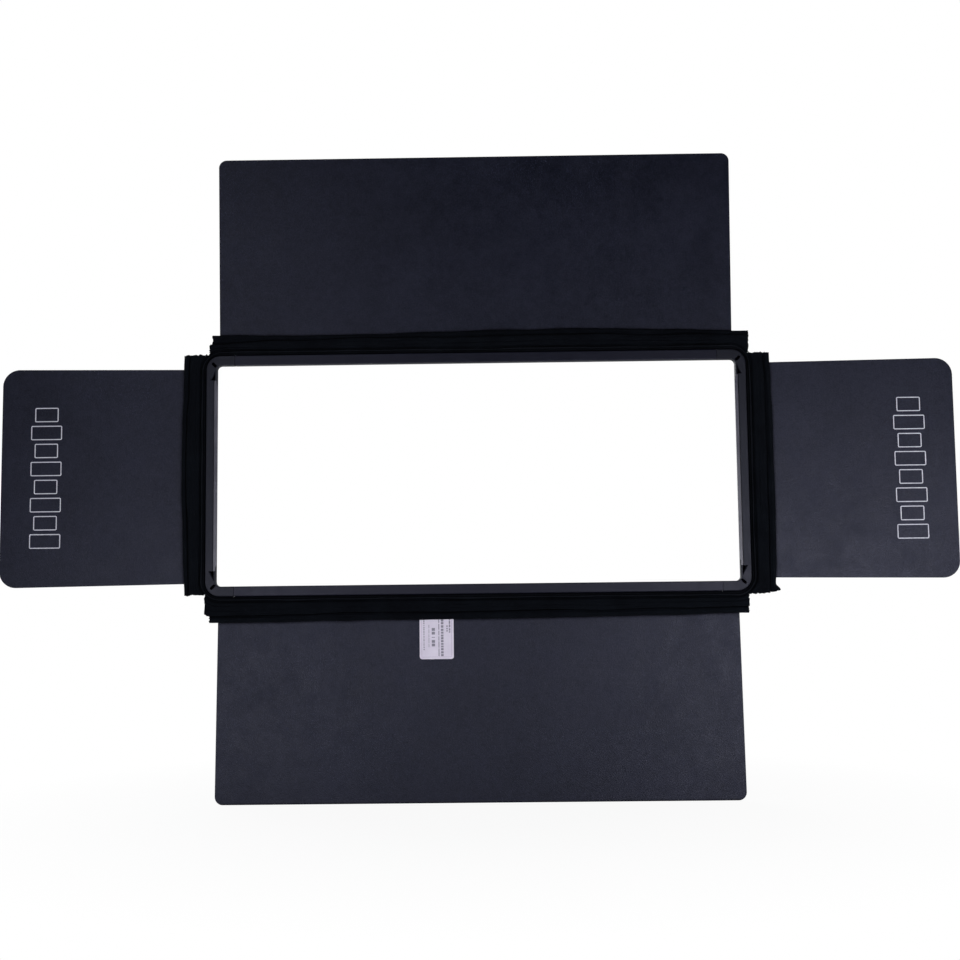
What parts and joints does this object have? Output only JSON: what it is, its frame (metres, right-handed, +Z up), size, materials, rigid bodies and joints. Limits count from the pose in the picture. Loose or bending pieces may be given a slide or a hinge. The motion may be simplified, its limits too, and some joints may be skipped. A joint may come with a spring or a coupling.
{
  "type": "barn door attachment",
  "caption": "Rectangular barn door set for a panel light: a slim frame with hinged sheet leaves, pleated fabric over the hinge gaps and a rear seat for the lamp.",
  "frame": {"origin": "middle of the light opening, on the frame's rear face", "axes": "+X along the long side, +Y the way the light shines, +Z up"},
  "size_m": [1.1334, 0.0182, 0.77],
  "materials": {
    "frame_paint": "black coated, satin",
    "leaf_paint": "fine textured black powder coat",
    "strip_paint": "thin dark grey satin strip",
    "black_anodised": "black anodised",
    "dark_screws": "black oxide",
    "hinge_black": "black powder coat",
    "rivet_black": "black paint",
    "zinc_steel": "bright zinc",
    "nylon": "natural nylon",
    "binding_tape": "woven tape",
    "pleated_fabric": "matt black knitted fabric",
    "sticker_paper": "printed sticker"
  },
  "bodies": {
    "frame": {"top_rail": "frame_paint", "bottom_rail": "frame_paint", "left_end_frame": "frame_paint", "right_end_frame": "frame_paint", "corner_keys": "black_anodised", "rail_screws": "dark_screws", "left_retaining_strip": "strip_paint", "right_retaining_strip": "strip_paint", "fabric_binding": "binding_tape", "top_fabric": "pleated_fabric", "top_frame_hinges": "hinge_black", "top_hinge_pins": "zinc_steel", "top_hinge_nuts": "zinc_steel", "top_friction_washers": "nylon", "top_bracket_screws": "dark_screws", "bottom_fabric": "pleated_fabric", "bottom_frame_hinges": "hinge_black", "bottom_hinge_pins": "zinc_steel", "bottom_hinge_nuts": "zinc_steel", "bottom_friction_washers": "nylon", "bottom_bracket_screws": "dark_screws", "left_fabric": "pleated_fabric", "left_frame_hinges": "hinge_black", "left_hinge_pins": "zinc_steel", "left_hinge_nuts": "zinc_steel", "left_friction_washers": "nylon", "left_bracket_screws": "dark_screws", "right_fabric": "pleated_fabric", "right_frame_hinges": "hinge_black", "right_hinge_pins": "zinc_steel", "right_hinge_nuts": "zinc_steel", "right_friction_washers": "nylon", "right_bracket_screws": "dark_screws"},
    "top_leaf_body": {"top_leaf": "leaf_paint", "top_leaf_hinges": "hinge_black", "top_leaf_rivets": "rivet_black"},
    "bottom_leaf_body": {"bottom_leaf": "leaf_paint", "bottom_leaf_hinges": "hinge_black", "bottom_leaf_rivets": "rivet_black", "label_sticker": "sticker_paper"},
    "left_leaf_body": {"left_leaf": "leaf_paint", "left_leaf_hinges": "hinge_black", "left_leaf_rivets": "rivet_black"},
    "right_leaf_body": {"right_leaf": "leaf_paint", "right_leaf_hinges": "hinge_black", "right_leaf_rivets": "rivet_black"}
  },
  "joints": [
    {"name": "top_leaf_hinge", "type": "hinge", "parent": "frame", "child": "top_leaf_body", "pos_m": [0, 0.015, 0.15], "axis": [-1, 0, 0], "range_deg": [-10, 179.8]},
    {"name": "bottom_leaf_hinge", "type": "hinge", "parent": "frame", "child": "bottom_leaf_body", "pos_m": [0, 0.0135, -0.15], "axis": [1, 0, 0], "range_deg": [-10, 179.8]},
    {"name": "left_leaf_hinge", "type": "hinge", "parent": "frame", "child": "left_leaf_body", "pos_m": [-0.3277, 0.012, 0], "axis": [0, 0, -1], "range_deg": [-10, 179.8]},
    {"name": "right_leaf_hinge", "type": "hinge", "parent": "frame", "child": "right_leaf_body", "pos_m": [0.3277, 0.012, 0], "axis": [0, 0, 1], "range_deg": [-10, 179.8]}
  ]
}
